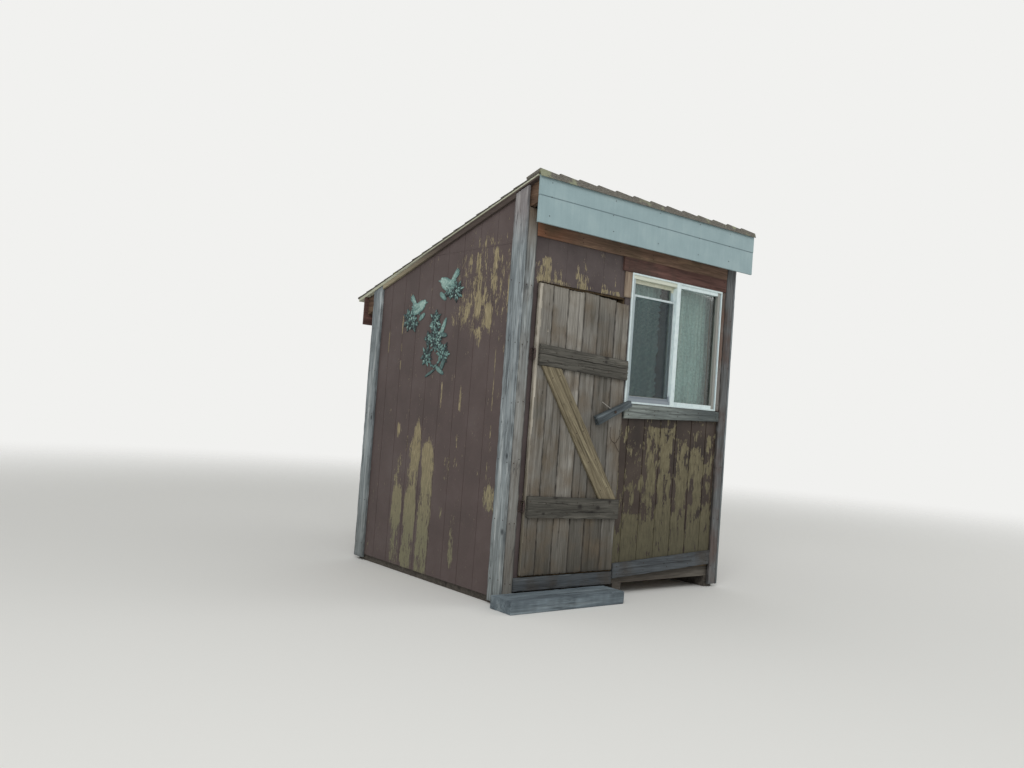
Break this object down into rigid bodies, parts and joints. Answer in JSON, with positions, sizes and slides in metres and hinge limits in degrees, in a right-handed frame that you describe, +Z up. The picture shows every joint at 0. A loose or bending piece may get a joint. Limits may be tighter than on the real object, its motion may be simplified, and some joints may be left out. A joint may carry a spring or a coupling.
{
  "type": "wooden outhouse",
  "caption": "Small wooden outhouse with a single-slope roof, a ledged and braced plank door, a slider window with curtains and peeling grooved siding.",
  "frame": {"origin": "on the ground under the centre of the whole part", "axes": "+X right along the front wall, +Y from the front wall to the back, +Z up"},
  "size_m": [2.44, 2.4862, 2.9703],
  "materials": {
    "weathered_timber": "rough sawn, silvered",
    "framing_timber": "plain sawn",
    "floor_plywood": "plywood",
    "brown_siding": "flaking brown paint",
    "grey_trim": "weathered grey",
    "red_brown_trim": "worn red-brown stain",
    "white_vinyl": "satin",
    "cream_vinyl": "satin",
    "window_glass": "clear",
    "screen_aluminium": "painted",
    "screen_mesh": "woven",
    "painted_steel": "satin",
    "curtain_cloth": "woven",
    "roof_shingle": "mineral granules",
    "blue_grey_fascia": "blue-grey paint",
    "door_timber": "bare, weathered",
    "ledge_timber": "bare, dark",
    "brace_timber": "bare, weathered",
    "rusty_steel": "rusted",
    "green_metal": "verdigris paint"
  },
  "bodies": {
    "building": {"skids": "weathered_timber", "floor_joists": "framing_timber", "floor_deck": "floor_plywood", "base_boards": "weathered_timber", "door_step": "weathered_timber", "wall_posts": "framing_timber", "wall_rails": "framing_timber", "siding_left": "brown_siding", "siding_right": "brown_siding", "siding_back": "brown_siding", "siding_jamb": "brown_siding", "siding_head": "brown_siding", "siding_beside_window": "brown_siding", "siding_under_window": "brown_siding", "corner_boards_front": "grey_trim", "corner_boards_back": "grey_trim", "frieze_boards": "red_brown_trim", "header_board": "red_brown_trim", "window_casings": "red_brown_trim", "sill_board": "grey_trim", "window_frame": "white_vinyl", "sash_left": "cream_vinyl", "window_glass": "window_glass", "screen_frame": "screen_aluminium", "screen_mesh": "screen_mesh", "curtain_rod": "painted_steel", "curtain_left": "curtain_cloth", "curtain_right": "curtain_cloth", "rafters": "red_brown_trim", "roof_deck": "floor_plywood", "shingles": "roof_shingle", "cap_row": "roof_shingle", "fascia_front": "blue_grey_fascia", "fascia_back": "red_brown_trim", "rake_laths": "framing_timber", "hinge_pins": "rusty_steel", "wall_plaques": "green_metal"},
    "door": {"door_boards": "door_timber", "door_ledges": "ledge_timber", "door_brace": "brace_timber", "hinge_leaves": "rusty_steel", "button_screw": "rusty_steel", "wire_pull": "rusty_steel"},
    "turn_button": {"turn_button": "ledge_timber", "button_nail": "rusty_steel"}
  },
  "joints": [
    {"name": "door_hinge", "type": "hinge", "parent": "building", "child": "door", "pos_m": [-0.996, -1.02985, 1.2], "axis": [0, 0, -1], "range_deg": [0, 110]},
    {"name": "button_pivot", "type": "hinge", "parent": "door", "child": "turn_button", "pos_m": [-0.217, -1.05285, 1.373], "axis": [0, -1, 0], "range_deg": [-24, 66]}
  ]
}
